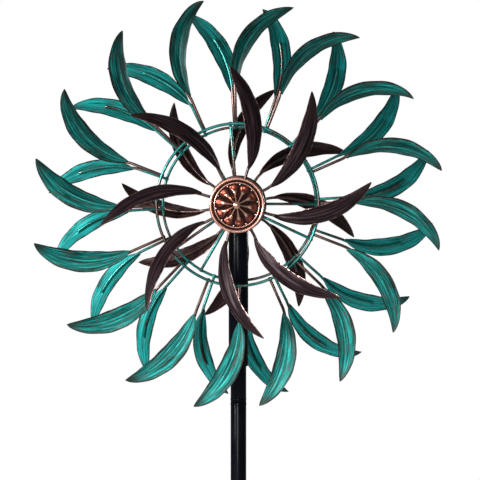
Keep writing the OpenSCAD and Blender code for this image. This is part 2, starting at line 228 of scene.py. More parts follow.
def coated(name, deep, worn, gloss_from, gloss_to, peel_size=900.0, soil=0.0):
    """A sprayed finish: deep colour clouding to worn, with dust near the ground if soil is set."""
    made, tree, shader = new_finish(name, {"Specular IOR Level": 0.16})
    place = new_node(tree, "TexCoord")
    grain = new_node(tree, "Group", node_tree=coating)
    grain.inputs["Peel size"].default_value = peel_size
    wire(place, "Object", grain, "Vector")
    tone = ramp(grain, "Cloud", [(0.35, deep), (0.7, worn)])
    height = new_node(tree, "SeparateXYZ")
    low = new_node(tree, "MapRange",
                   {"From Min": SOIL_FROM, "From Max": SOIL_FULL, "To Min": 0.0, "To Max": soil})
    wire(place, "Object", height, "Vector")
    wire(height, "Z", low, "Value")
    patchy = calc(low, "Result", "MULTIPLY")
    wire(grain, "Cloud", patchy, 1)
    both = calc(grain, "Speck", "MULTIPLY_ADD", {1: 0.06})
    wire(patchy, "Value", both, 2)
    dusted = laid_over(tone, "Color", both, "Value", DUST)
    wire(dusted, "Result", shader, "Base Color")
    ranged(grain, "Cloud", shader, "Roughness",
           {"From Min": 0.3, "From Max": 0.7, "To Min": gloss_from, "To Max": gloss_to})
    raised(grain, "Height", shader, 0.05, 0.0003)
    return made


black_coat = coated("black_powder_coat", (0.0016, 0.002, 0.0045), (0.004, 0.005, 0.009), 0.14, 0.24,
                    soil=0.5)

block_low, block_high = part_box("stake_hub")
block_r = block_high.x
spigot_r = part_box("lower_coupler")[1].x
block_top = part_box("lower_pole")[0].z

bm = bmesh.new()
turned(bm, [(0, block_low.z), (block_r, block_low.z), (block_r, block_top),
            (spigot_r, block_top), (spigot_r, block_high.z), (0, block_high.z)])
ease_edges(bm, 0.0012, segments=3)
finished(bm, "stake_hub_block", "pole", black_coat, ["stake_hub"])

spike_low, spike_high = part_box("ground_spike")
spike_r = spike_high.x
spike_point = 0.030

bm = bmesh.new()
turned(bm, [(0, 0), (spike_r, 0), (spike_r, spike_low.z + spike_point),
            (spike_r * 0.14, spike_low.z + 0.002), (0, spike_low.z)], steps=48)
finished(bm, "ground_spike_rod", "pole", black_coat, ["ground_spike"],
         crease=50)

fork_low, fork_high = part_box("fork_tines")
tine_r = fork_high.y
tine_x = fork_high.x - tine_r
bar_z = fork_high.z - tine_r
bend_r = 0.015
tine_point = 0.025


def open_round(bm, radius, matrix, segments=20):
    """A ring of vertices to be drawn out into a rod."""
    verts = bmesh.ops.create_circle(bm, cap_ends=False, radius=radius, segments=segments,
                                    matrix=matrix)["verts"]
    return verts, [e for e in bm.edges if e.verts[0] in verts and e.verts[1] in verts]


def draw_out(bm, edges, move):
    """Draws a ring of edges out along a vector and gives the new end ring."""
    made = bmesh.ops.extrude_edge_only(bm, edges=edges)["geom"]
    verts = [g for g in made if isinstance(g, bmesh.types.BMVert)]
    bmesh.ops.translate(bm, vec=move, verts=verts)
    return verts, [g for g in made if isinstance(g, bmesh.types.BMEdge) and g.is_boundary]


def bend_round(bm, verts, edges, centre, axis, angle, steps, rise=0.0):
    """Bends a ring of edges round an axis, climbing by rise, and gives the new end ring."""
    made = bmesh.ops.spin(bm, geom=verts + edges, cent=centre, axis=axis, angle=angle, steps=steps,
                          dvec=(0, 0, rise / steps))["geom_last"]
    return ([g for g in made if isinstance(g, bmesh.types.BMVert)],
            [g for g in made if isinstance(g, bmesh.types.BMEdge)])


def hoop(bm, radius, thick, height, segments, steps):
    """A round rod rolled into a hoop about Z; thick is the rod's radius."""
    verts, edges = open_round(bm, thick, Matrix.Translation((radius, 0, height))
                              @ Matrix.Rotation(math.pi / 2, 4, "X"), segments)
    spin_round(bm, verts + edges, steps)


def close_ends(bm):
    """Fills the open ends of a rod."""
    bmesh.ops.holes_fill(bm, edges=[e for e in bm.edges if e.is_boundary], sides=0)


bm = bmesh.new()
for side in (0, math.pi):
    across = tine_x - bend_r
    verts, edges = open_round(bm, tine_r, Matrix.Rotation(math.pi / 2, 4, "Y"))
    bmesh.ops.translate(bm, vec=(0, 0, bar_z), verts=verts)
    start = set(bm.verts) - set(verts)
    verts, edges = draw_out(bm, edges, (across, 0, 0))
    verts, edges = bend_round(bm, verts, edges, (across, 0, bar_z - bend_r), (0, 1, 0),
                              math.pi / 2, 10)
    straight = fork_low.z + tine_point - (bar_z - bend_r)
    verts, edges = draw_out(bm, edges, (0, 0, straight))
    verts, edges = draw_out(bm, edges, (0, 0, -tine_point))
    bmesh.ops.scale(bm, vec=(0.12, 0.12, 1), verts=verts,
                    space=Matrix.Translation((-tine_x, 0, 0)))
    fresh = [v for v in bm.verts if v not in start]
    turn_about(bm, fresh, side)
merge(bm, 1e-5)
close_ends(bm)
finished(bm, "fork_bar", "pole", black_coat, ["fork_tines"], crease=50)

# Weld beads: a rippled fillet where the bar enters the block on each side, and one under the
# block round the spike. They are coated with the rest.


def weld_ring(bm, radius, bead, ripples, depth):
    """A ring of weld about Z with the overlapping ripples that a welder leaves."""
    old = set(bm.verts)
    hoop(bm, radius, bead, 0, 10, ripples * 5)
    ring_verts = [v for v in bm.verts if v not in old]
    for v in ring_verts:
        turn = math.atan2(v.co.y, v.co.x)
        middle = Vector((math.cos(turn), math.sin(turn), 0)) * radius
        swell = 1 + depth * abs(math.sin(turn * ripples / 2)) - depth
        v.co = middle + (v.co - middle) * swell
    return ring_verts


bm = bmesh.new()
WELD_OUT = 0.0006
RIPPLE = 0.3
for side in (1, -1):
    ring_verts = weld_ring(bm, tine_r + WELD_OUT, 0.0022, 14, RIPPLE)
    turn_about(bm, ring_verts, math.pi / 2, "Y")
    bmesh.ops.translate(bm, vec=(side * (block_r - 0.0004), 0, bar_z), verts=ring_verts)
weld_ring(bm, spike_r + WELD_OUT, 0.0024, 22, RIPPLE)
merge(bm)
finished(bm, "stake_welds", "pole", black_coat)

# ----------------------------------------------------------
# Pole. Three lengths of thin steel tube, powder coated black. A zinc-plated coupler inside each
# joint is held by button screws at the back, and a turned ring, coated too, covers the seam.

pole_wall = 0.0015
for part in ("lower", "middle", "upper"):
    low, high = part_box(part + "_pole")
    bm = bmesh.new()
    turned(bm, [(high.x, low.z), (high.x, high.z), (high.x - pole_wall, high.z),
                (high.x - pole_wall, low.z)])
    ease_edges(bm, 0.0004)
    finished(bm, part + "_pole_tube", "pole", black_coat, [part + "_pole"])

cover_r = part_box("joint_rings")[1].x
pole_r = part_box("middle_pole")[1].x
seams = (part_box("lower_pole")[1].z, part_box("middle_pole")[1].z)
seam_ring_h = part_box("middle_pole")[0].z - seams[0]

bm = bmesh.new()
for seam in seams:
    lip = 0.0018
    turned(bm, [(cover_r, seam), (cover_r, seam + lip), (pole_r, seam + lip * 1.4),
                (pole_r, seam + seam_ring_h - lip * 1.4), (cover_r, seam + seam_ring_h - lip),
                (cover_r, seam + seam_ring_h), (pole_r - pole_wall, seam + seam_ring_h),
                (pole_r - pole_wall, seam)])
ease_edges(bm, 0.0002)
finished(bm, "pole_seam_rings", "pole", black_coat, ["joint_rings"])

screw_black = coated("black_oxide", (0.006, 0.006, 0.007), (0.02, 0.019, 0.02), 0.3, 0.5, 2400.0)
screw_low, screw_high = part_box("joint_screws")
head_r = screw_high.x
shank_r = 0.0024
head_t = 0.0025
head_y = screw_high.y - head_t
screw_step = 0.030
screw_heights = [block_top + screw_step]
for seam in seams:
    middle = seam + seam_ring_h / 2
    screw_heights += [middle - screw_step, middle + screw_step]

bm = bmesh.new()
for height in screw_heights:
    old = set(bm.verts)
    verts, edges = open_round(bm, 0.0017, Matrix.Translation((0, 0, head_t - 0.0014)), segments=6)
    verts, edges = draw_out(bm, edges, (0, 0, 0.0014))
    hex_top = edges
    verts, edges = open_round(bm, head_r * 0.6, Matrix.Translation((0, 0, head_t)), segments=24)
    bmesh.ops.bridge_loops(bm, edges=hex_top + edges)
    for radius, drop in ((0.86, 0.0006), (1.0, 0.0009), (1.0, 0.0)):
        verts, edges = draw_out(bm, edges, (0, 0, -drop))
        wide = head_r * radius / max(v.co.xy.length for v in verts)
        bmesh.ops.scale(bm, vec=(wide, wide, 1), verts=verts)
    verts, edges = draw_out(bm, edges, (0, 0, -min(v.co.z for v in verts)))
    verts, edges = draw_out(bm, edges, (0, 0, 0))
    bmesh.ops.scale(bm, vec=(shank_r / head_r, shank_r / head_r, 1), verts=verts)
    draw_out(bm, edges, (0, 0, screw_low.y - head_y))
    close_ends(bm)
    fresh = [v for v in bm.verts if v not in old]
    turn_about(bm, fresh, -math.pi / 2, "X")
    bmesh.ops.translate(bm, vec=(0, head_y, height), verts=fresh)
finished(bm, "button_screws", "pole", screw_black, ["joint_screws"], crease=32)

# ----------------------------------------------------------
# Pivot. A zinc-plated plug closes the pole's top and holds a hardened ball, which the seat inside
# the head rests on. Couplers and axle hardware have the same plating.


def plated(name, colour, gloss_from, gloss_to, scale, stretch=(1, 1, 1)):
    """Bright metal with fine tool marks, stretched along one direction where it was turned."""
    made, tree, shader = new_finish(name, {"Metallic": 1.0})
    place = new_node(tree, "TexCoord")
    marks_at = new_node(tree, "Mapping")
    marks_at.inputs["Scale"].default_value = stretch
    grain = new_node(tree, "Group", node_tree=coating)
    grain.inputs["Peel size"].default_value = scale
    wire(place, "Object", marks_at, "Vector")
    wire(marks_at, "Vector", grain, "Vector")
    tone = ramp(grain, "Cloud", [(0.3, tuple(0.75 * c for c in colour)), (0.7, colour)])
    wire(tone, "Color", shader, "Base Color")
    ranged(grain, "Height", shader, "Roughness",
           {"From Min": 0.3, "From Max": 0.7, "To Min": gloss_from, "To Max": gloss_to})
    raised(grain, "Height", shader, 0.08, 0.0002)
    return made


zinc = plated("zinc_plate", (0.62, 0.63, 0.66), 0.2, 0.42, 900.0)
ground_steel = plated("ground_steel", (0.72, 0.73, 0.75), 0.06, 0.2, 1600.0, (0.3, 1, 0.3))
nylon = coated("black_nylon", (0.012, 0.012, 0.013), (0.024, 0.024, 0.026), 0.4, 0.55, 1500.0)


def finish_nodes(finish, *names):
    """Gives CAD nodes that are shown as they are their finish."""
    for node_name in names:
        mesh = nodes[node_name].data
        mesh.materials.clear()
        mesh.materials.append(finish)


finish_nodes(zinc, "lower_coupler", "upper_coupler", "pivot_plug", "thrust_seat", "axle",
             "axle_spacers", "axle_washers", "axle_lock_nuts", "front_race_spacer",
             "rear_race_spacer")
finish_nodes(nylon, "lower_bush", "upper_bush")
finish_nodes(ground_steel, "pivot_ball", "front_inner_races", "rear_inner_races",
             "front_outer_races", "rear_outer_races", "front_bearing_balls", "rear_bearing_balls")

# ----------------------------------------------------------
# Head. A black sleeve turns on the pole in two nylon bushes. A cross tube welded through it holds
# the axle, and a domed cap is pressed into its top.

sleeve_low, sleeve_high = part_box("head_sleeve")
sleeve_r = sleeve_high.x
sleeve_wall = 0.0012
axle_z = (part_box("axle")[0].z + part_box("axle")[1].z) / 2

bm = bmesh.new()
turned(bm, [(sleeve_r, sleeve_low.z), (sleeve_r, sleeve_high.z),
            (sleeve_r - sleeve_wall, sleeve_high.z), (sleeve_r - sleeve_wall, sleeve_low.z)])
ease_edges(bm, 0.0004)
finished(bm, "head_sleeve_tube", "head", black_coat, ["head_sleeve"])

cap_low, cap_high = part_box("head_cap")
dome_h = cap_high.z - sleeve_high.z

bm = bmesh.new()
turned(bm, [(0, cap_low.z), (sleeve_r - sleeve_wall, cap_low.z),
            (sleeve_r - sleeve_wall, sleeve_high.z), (sleeve_r, sleeve_high.z)]
       + [(sleeve_r * math.cos(math.radians(a)), sleeve_high.z + dome_h * math.sin(math.radians(a)))
          for a in range(15, 90, 15)] + [(0, cap_high.z)])
finished(bm, "head_top_cap", "head", black_coat, ["head_cap"])

cross_low, cross_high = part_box("cross_tube")
cross_r = cross_high.x
axle_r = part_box("axle")[1].x
lay_along_y = Matrix.Translation((0, 0, axle_z)) @ Matrix.Rotation(math.pi / 2, 4, "X")

bm = bmesh.new()
turned(bm, [(cross_r, cross_low.y), (cross_r, cross_high.y), (axle_r, cross_high.y),
            (axle_r, cross_low.y)], steps=64)
ease_edges(bm, 0.0008, segments=3)
finished(bm, "axle_cross_tube", "head", black_coat, ["cross_tube"],
         place=lay_along_y)

# Weld round the cross tube on each side of the sleeve, saddle shaped because it follows the sleeve.
bm = bmesh.new()
for side in (1, -1):
    ring_verts = weld_ring(bm, cross_r + 0.0007, 0.0021, 26, 0.25)
    bmesh.ops.transform(bm, matrix=lay_along_y, verts=ring_verts)
    for v in ring_verts:
        saddle = math.sqrt(max(sleeve_r ** 2 - v.co.x ** 2, 0))
        v.co.y = side * (saddle + v.co.y * side)
finished(bm, "cross_tube_welds", "head", black_coat)

# ----------------------------------------------------------
# Hub. Each wheel has a turned barrel round its two bearings and a pressed disc welded to it, both
# sprayed verdigris green, which is rubbed through to copper where hands and weather reach it.

SIDES = {
    "front": Matrix.Translation((0, 0, axle_z)) @ Matrix.Rotation(math.pi / 2, 4, "X"),
    "rear": (Matrix.Translation((0, 0, axle_z)) @ Matrix.Rotation(math.pi, 4, "Z")
             @ Matrix.Rotation(math.pi / 2, 4, "X")),
}


def span(node_name):
    """Nearest and farthest distance of a node from the pole's axis, along the axle."""
    low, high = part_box(node_name)
    ends = sorted((abs(low.y), abs(high.y)))
    return ends[0], ends[1]


# Rubbed paint group: a mask of where paint is rubbed away, and a soft tone for what is left.
rubbed, takes, gives = new_group(
    "rubbed_paint",
    {"Vector": ("Vector", None), "Size": ("Float", 60.0), "Amount": ("Float", 0.5)},
    {"Rubbed": "Float", "Tone": "Float", "Height": "Float"})
patches = new_node(rubbed, "TexNoise", {"Detail": 8.0, "Roughness": 0.65})
tone_noise = new_node(rubbed, "TexNoise", {"Scale": 25.0, "Detail": 3.0})
edge_of_patch = new_node(rubbed, "Math", {0: 1.0}, operation="SUBTRACT")
patch_cut = new_node(rubbed, "MapRange", interpolation_type="SMOOTHSTEP")
wire(takes, "Vector", patches, "Vector")
wire(takes, "Vector", tone_noise, "Vector")
wire(takes, "Size", patches, "Scale")
wire(takes, "Amount", edge_of_patch, 1)
wire(edge_of_patch, "Value", patch_cut, "From Min")
patch_top = calc(edge_of_patch, "Value", "ADD", {1: 0.1})
wire(patch_top, "Value", patch_cut, "From Max")
wire(patches, "Fac", patch_cut, "Value")
wire(patch_cut, "Result", gives, "Rubbed")
wire(tone_noise, "Fac", gives, "Tone")
wire(patches, "Fac", gives, "Height")


def rubbed_finish(name, dark, light, under, amount, size, roughness):
    """Paint from dark to light, rubbed through to the metal under it."""
    made, tree, shader = new_finish(name, {"Specular IOR Level": 0.6})
    place = new_node(tree, "TexCoord")
    wear = new_node(tree, "Group", node_tree=rubbed)
    wear.inputs["Size"].default_value = size
    wear.inputs["Amount"].default_value = amount
    wire(place, "Object", wear, "Vector")
    paint = ramp(wear, "Tone", [(0.3, dark), (0.7, light)])
    colour = laid_over(paint, "Color", wear, "Rubbed", under)
    wire(colour, "Result", shader, "Base Color")
    ranged(wear, "Rubbed", shader, "Metallic", {"To Min": 0.6, "To Max": 0.95})
    ranged(wear, "Height", shader, "Roughness",
           {"To Min": roughness + 0.1, "To Max": roughness - 0.08})
    raised(wear, "Height", shader, 0.15, 0.0004)
    return made


green_rod = rubbed_finish("verdigris_rod", (0.008, 0.12, 0.105), (0.04, 0.33, 0.30),
                          (0.16, 0.095, 0.08), 0.50, 11.0, 0.22)
barrel_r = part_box("front_hub_barrel")[1].x
barrel_wall = 0.003
disc_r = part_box("front_hub_disc")[1].x
# The disc is trimmed a little small and welded on slightly off centre
plate_edge = disc_r - 0.0018
OFF_CENTRE = (0.0009, 0.0014, 0)
for side, place in SIDES.items():
    near, far = span(side + "_hub_barrel")
    bm = bmesh.new()
    turned(bm, [(barrel_r, near), (barrel_r, far), (barrel_r - barrel_wall, far),
                (barrel_r - barrel_wall, near)])
    ease_edges(bm, 0.0006)
    finished(bm, side + "_hub_barrel_shell", side + "_wheel", green_rod,
             [side + "_hub_barrel"], place=place)
    near, far = span(side + "_hub_disc")
    bm = bmesh.new()
    turned(bm, [(barrel_r, near), (plate_edge, near), (plate_edge, far), (barrel_r, far)])
    ease_edges(bm, 0.0005)
    bmesh.ops.translate(bm, vec=OFF_CENTRE, verts=list(bm.verts))
    finished(bm, side + "_hub_disc_plate", side + "_wheel", green_rod,
             [side + "_hub_disc"], place=place)

# ----------------------------------------------------------
# Ring and spokes. Round steel rod: one hoop, and three spokes from the hub barrel that are welded
# to the back of the disc and the back of the hoop. Sprayed with the hub.

rod_r = (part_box("front_ring")[1].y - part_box("front_ring")[0].y) / 2
ring_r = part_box("front_ring")[1].x - rod_r
ring_z = sum(span("front_ring")) / 2
stem_z = sum(span("front_spokes")) / 2
spoke_end = ring_r + 0.00125
SPOKES = 3
SPOKE_AT = {"front": 95, "rear": 60}

for side, place in SIDES.items():
    bm = bmesh.new()
    hoop(bm, ring_r, rod_r, ring_z, 16, 128)
    merge(bm)
    finished(bm, side + "_wheel_ring", side + "_wheel", green_rod,
             [side + "_ring"], place=place)

    bm = bmesh.new()
    for spoke in range(SPOKES):
        old = set(bm.verts)
        verts, edges = open_round(bm, rod_r, Matrix.Translation((barrel_r, 0, stem_z))
                                  @ Matrix.Rotation(math.pi / 2, 4, "Y"), segments=16)
        draw_out(bm, edges, (spoke_end - barrel_r, 0, 0))
        close_ends(bm)
        fresh = [v for v in bm.verts if v not in old]
        turn_about(bm, fresh, math.radians(SPOKE_AT[side] + 360 / SPOKES * spoke))
    ease_edges(bm, 0.0005)
    finished(bm, side + "_wheel_spokes", side + "_wheel", green_rod,
             [side + "_spokes"], place=place)

# ----------------------------------------------------------
# Stems. One bent rod for each leaf, welded to the back of the ring (outer) or the front of the
# disc (inner). Each leaves along a radius, then curves with its leaf for over half the length.
# The rear wheel's outer stems are sprayed verdigris, and all the others aged copper.


class Kind:
    """How one kind of leaf and its stem are laid out, facing the wheel, at angle zero."""

    def __init__(self, count, base_r, arc_r, sweep, turn, rise, start_r, height, width):
        self.count = count
        self.base_r = base_r
        self.arc_r = arc_r
        self.sweep = math.radians(sweep)
        self.turn = turn
        self.rise = rise
        self.start_r = start_r
        self.height = height
        self.width = width

    def bowed(self, bow):
        """Sweep and radius of the arc when it is bent this much more between the same ends."""
        sweep = self.sweep + bow
        return sweep, self.arc_r * math.sin(self.sweep / 2) / math.sin(sweep / 2)

    def on_stem(self, along, bow):
        """Point on the stem's middle line, carried on to the leaf's tip."""
        sweep, arc_r = self.bowed(bow)
        return Vector((self.base_r + arc_r * math.sin(sweep * along),
                       self.turn * arc_r * (1 - math.cos(sweep * along)),
                       self.height + self.rise * along))

    def axes(self, along, bow, pitch):
        """Unit vectors across the leaf, to its anticlockwise edge, and out of its front face."""
        sweep, arc_r = self.bowed(bow)
        bend = sweep * along
        way = Vector((math.cos(bend), self.turn * math.sin(bend), self.rise / (arc_r * sweep)))
        across = Vector((-self.turn * math.sin(bend) * math.cos(pitch),
                         math.cos(bend) * math.cos(pitch), math.sin(pitch)))
        return across, way.cross(across).normalized()

    def lean_over(self, verts, lean):
        """Bends all that is past the foot of the leaf sideways, over the last straight rod."""
        pivot = Vector((self.base_r - BEND_LENGTH / 2, 0, 0))
        for v in verts:
            share = min(max((v.co.x - self.base_r) / BEND_LENGTH + 1, 0), 1)
            v.co = pivot + Matrix.Rotation(lean * share, 3, "Z") @ (v.co - pivot)


BEND_LENGTH = 0.012
inner_height = span("front_hub_disc")[1] + rod_r
KINDS = {
    "outer": Kind(16, 0.175, 0.133, 64.7, -1, 0.013, ring_r - 0.0025, stem_z, 0.036),
    "inner": Kind(8, 0.057, 0.131, 67.0, 1, 0.071, barrel_r + 0.003, inner_height, 0.028),
}
FIRST_AT = {("front", "outer"): 1.2, ("front", "inner"): -16.3,
            ("rear", "outer"): -3.5, ("rear", "inner"): -10.7}
STEM_SHARE = 0.6
# Leaves are set by eye, so the bow of their curve varies round the wheel: its mean against the
# pattern, how far it swings, and the angle on the wheel where it is strongest, all in degrees
BOW = {("front", "outer"): (5, 13, 70), ("front", "inner"): (0, 7, 225),
       ("rear", "outer"): (-6, 9, 225), ("rear", "inner"): (-8, 8, 100)}
# How many whole degrees anticlockwise each leaf was bent by hand, after its stem was welded on
LEAN = {
    ("front", "outer"): (2, 1, -1, -1, -6, 1, 4, 5, 1, 4, 8, 8, 3, -6, -3, -7),
    ("front", "inner"): (3, 5, -6, -4, 2, -3, 6, -4),
    ("rear", "outer"): (3, -2, 6, -8, 6, 6, 4, 8, 5, 3, 4, 3, 8, -2, 3, 1),
    ("rear", "inner"): (-5, -2, 6, 9, 5, 3, 6, 3),
}

copper_rod = rubbed_finish("aged_copper_rod", (0.045, 0.026, 0.023), (0.20, 0.115, 0.095),
                           (0.03, 0.15, 0.13), 0.40, 40.0, 0.20)


def leaves_of(side, kind_name):
    """Where each leaf stands on its wheel, how far it leans and how it is bowed, in radians."""
    kind = KINDS[kind_name]
    middle, swing, strongest = (math.radians(value) for value in BOW[side, kind_name])
    found = []
    for i, lean in enumerate(LEAN[side, kind_name]):
        angle = math.radians(FIRST_AT[side, kind_name] + 360 / kind.count * i)
        bow = middle + swing * math.cos(angle - strongest)
        found.append((angle, math.radians(lean) - kind.turn * bow / 2, bow))
    return found


for side, place in SIDES.items():
    for kind_name, kind in KINDS.items():
        bm = bmesh.new()
        for angle, lean, bow in leaves_of(side, kind_name):
            sweep, arc_r = kind.bowed(bow)
            old = set(bm.verts)
            verts, edges = open_round(bm, rod_r, Matrix.Translation((kind.start_r, 0, kind.height))
                                      @ Matrix.Rotation(math.pi / 2, 4, "Y"), segments=14)
            verts, edges = draw_out(bm, edges, (kind.base_r - BEND_LENGTH - kind.start_r, 0, 0))
            for _ in range(4):
                verts, edges = draw_out(bm, edges, (BEND_LENGTH / 4, 0, 0))
            bend_round(bm, verts, edges, (kind.base_r, kind.turn * arc_r, 0), (0, 0, kind.turn),
                       sweep * STEM_SHARE, 14, kind.rise * STEM_SHARE)
            close_ends(bm)
            fresh = [v for v in bm.verts if v not in old]
            kind.lean_over(fresh, lean)
            turn_about(bm, fresh, angle)
        ease_edges(bm, 0.0006, sharper_than=60)
        green = (side, kind_name) == ("rear", "outer")
        finished(bm, f"{side}_{kind_name}_stem_rods", side + "_wheel",
                 green_rod if green else copper_rod,
                 [f"{side}_{kind_name}_stems"], place=place)

# ----------------------------------------------------------
# Leaves. Sheet steel cut to a willow leaf and dished, with a rib pressed over the stem that it is
# welded to. One edge stands forward, so that the wind turns the wheel. The outer leaves are brushed
# verdigris over a dark copper base, the inner ones oil-rubbed bronze.

LEAF_SHEET = 0.001
ARCH_PUSH = 0.95
FULLNESS = 0.68
DISH = 0.17
RIB_HEIGHT = 0.0011
RIB_HALF = 0.0026


def smooth_step(value):
    """Rises from 0 to 1 with level ends."""
    value = min(max(value, 0.0), 1.0)
    return value * value * (3 - 2 * value)


def half_width(kind, along):
    """Half of the leaf's width at this share of its length."""
    arch = max(math.sin(math.pi * min(max(along, 0.0), 1.0) ** ARCH_PUSH), 0.0)
    return max(kind.width / 2 * arch ** FULLNESS, 0.0006)


def lay_leaf(bm, tone_layer, kind, leaf, pitch, tone):
    """Shapes a flat grid into one leaf on its stem: a dished blade with a rib pressed along it."""
    angle, lean, bow = leaf
    made = bmesh.ops.create_grid(bm, x_segments=32, y_segments=12, size=0.5, calc_uvs=True)
    hand = random.Random(round(tone * 1e6))
    wave_at = hand.uniform(0, 6.28)
    hook = hand.uniform(-0.002, 0.004)
    stand_off = LEAF_SHEET / 2 + rod_r + 0.0001
    for v in made["verts"]:
        along = v.co.x + 0.5
        across = math.copysign(abs(2 * v.co.y) ** 1.4, v.co.y)
        side_way, out = kind.axes(along, bow, pitch)
        half = half_width(kind, along)
        dish = DISH * half * (0.35 * abs(across) + 0.65 * across * across)
        rib = (RIB_HEIGHT * (1 - smooth_step(abs(across) * half / RIB_HALF))
               * (1 - smooth_step((along - 0.55) / 0.25)))
        wave = 0.0006 * math.sin(along * 17 + wave_at) * across * abs(across)
        curl = hook * max(0.0, (along - 0.86) / 0.14) ** 2
        v.co = (kind.on_stem(along, bow) + out * (stand_off - dish + rib + wave + curl)
                + side_way * half * across * (1 + 0.02 * math.sin(along * 31 + wave_at)))
        v[tone_layer] = tone
    kind.lean_over(made["verts"], lean)
    turn_about(bm, made["verts"], angle)


# Brushed leaf group: streaks along the leaf from its own map, the dark of its edges and tip, a
# painted highlight along the top of the rib, and painted shade in the grooves beside it.
brushed, takes, gives = new_group(
    "brushed_leaf",
    {"Map": ("Vector", None), "Tone": ("Float", 0.0), "Edge": ("Float", 0.1)},
    {"Streak": "Float", "Patch": "Float", "Edge": "Float", "Tip": "Float", "Rib highlight": "Float",
     "Groove shade": "Float", "Fine": "Float"})
split = new_node(brushed, "SeparateXYZ")
wire(takes, "Map", split, "Vector")
tone_far = calc(takes, "Tone", "MULTIPLY", {1: 37.0})


def streaky(scale_along, scale_across, detail, roughness, low, high):
    """Noise drawn out along the leaf and cut to a range."""
    stretch = new_node(brushed, "Mapping")
    stretch.inputs["Scale"].default_value = (scale_along, scale_across, 1)
    noise = new_node(brushed, "TexNoise",
                     {"Scale": 1.0, "Detail": detail, "Roughness": roughness},
                     noise_dimensions="4D")
    cut = new_node(brushed, "MapRange", {"From Min": low, "From Max": high})
    wire(takes, "Map", stretch, "Vector")
    wire(stretch, "Vector", noise, "Vector")
    wire(tone_far, "Value", noise, "W")
    wire(noise, "Fac", cut, "Value")
    return cut


wire(streaky(3.0, 15.0, 6.0, 0.68, 0.37, 0.63), "Result", gives, "Streak")
wire(streaky(7.0, 9.0, 5.0, 0.66, 0.5, 0.68), "Result", gives, "Patch")
wire(streaky(14.0, 90.0, 3.0, 0.7, 0.25, 0.75), "Result", gives, "Fine")

from_middle = calc(split, "Y", "SUBTRACT", {1: 0.5})
to_edge = calc(from_middle, "Value", "ABSOLUTE")
ragged = calc(streaky(22.0, 3.0, 4.0, 0.7, 0.3, 0.7), "Result", "MULTIPLY_ADD", {1: 0.08, 2: -0.04})
edge_sum = calc(to_edge, "Value", "ADD")
wire(ragged, "Value", edge_sum, 1)
edge_from = new_node(brushed, "Math", {0: 0.5}, operation="SUBTRACT")
wire(takes, "Edge", edge_from, 1)
edge_cut = new_node(brushed, "MapRange", {"From Max": 0.5},
                    interpolation_type="SMOOTHSTEP")
wire(edge_from, "Value", edge_cut, "From Min")
wire(edge_sum, "Value", edge_cut, "Value")
wire(edge_cut, "Result", gives, "Edge")

tip_sum = calc(ragged, "Value", "MULTIPLY_ADD", {1: 1.2})
wire(split, "X", tip_sum, 2)
tip_cut = new_node(brushed, "MapRange", {"From Min": 0.8, "From Max": 0.98},
                   interpolation_type="SMOOTHSTEP")
wire(tip_sum, "Value", tip_cut, "Value")
wire(tip_cut, "Result", gives, "Tip")
rib_end = new_node(brushed, "MapRange",
                   {"From Min": 0.55, "From Max": 0.85, "To Min": 1.0, "To Max": 0.0},
                   interpolation_type="SMOOTHSTEP")
wire(split, "X", rib_end, "Value")
# Rib highlight is a painted highlight along the rib's top; Groove shade is painted shade in the
# grooves on each side of the rib.
for output, stops in (("Rib highlight", [(0.0, (1, 1, 1)), (0.05, (0.8, 0.8, 0.8)), (0.08, (0, 0, 0))]),
                      ("Groove shade", [(0.075, (0, 0, 0)), (0.115, (1, 1, 1)), (0.17, (0, 0, 0))])):
    line = ramp(edge_sum, "Value", stops)
    faded = calc(line, "Color", "MULTIPLY")
    wire(rib_end, "Result", faded, 1)
    wire(faded, "Value", gives, output)


def leaf_finish(name, streaks, patina, patina_share, edge_wear_and_glint, edge_width, tip_colour,
                metallic, rough_from, rough_to):
    """Brushed paint along the leaf, patina over it, a painted highlight on the rib and painted
    shade in the grooves by it, and edge and tip.
    """
    made, tree, shader = new_finish(name, {"Specular IOR Level": 0.12})
    leaf_map = new_node(tree, "UVMap", uv_map="UVMap")
    tone = new_node(tree, "Attribute", attribute_name="leaf_tone")
    brush = new_node(tree, "Group", node_tree=brushed)
    brush.inputs["Edge"].default_value = edge_width
    wire(leaf_map, "UV", brush, "Map")
    wire(tone, "Fac", brush, "Tone")
    colour, output = ramp(brush, "Streak", streaks), "Color"
    # The rib gets the brightest streak colour as a painted highlight, and the grooves beside it get
    # the darkest as painted shade.
    for mask, share, over in (("Patch", patina_share, patina), ("Rib highlight", 0.45, streaks[-1][1]),
                              ("Groove shade", 0.75, streaks[0][1]), ("Tip", 0.85, tip_colour),
                              ("Edge", 0.9, edge_wear_and_glint)):
        part = calc(brush, mask, "MULTIPLY", {1: share})
        colour, output = laid_over(colour, output, part, "Value", over), "Result"
    wire(colour, output, shader, "Base Color")
    ranged(brush, "Edge", shader, "Metallic", {"To Min": metallic, "To Max": 0.9})
    ranged(brush, "Fine", shader, "Roughness", {"To Min": rough_from, "To Max": rough_to})
    relief = calc(brush, "Streak", "MULTIPLY_ADD", {1: 0.6})
    wire(brush, "Fine", relief, 2)
    raised(relief, "Value", shader, 0.10, 0.0005)
    return made


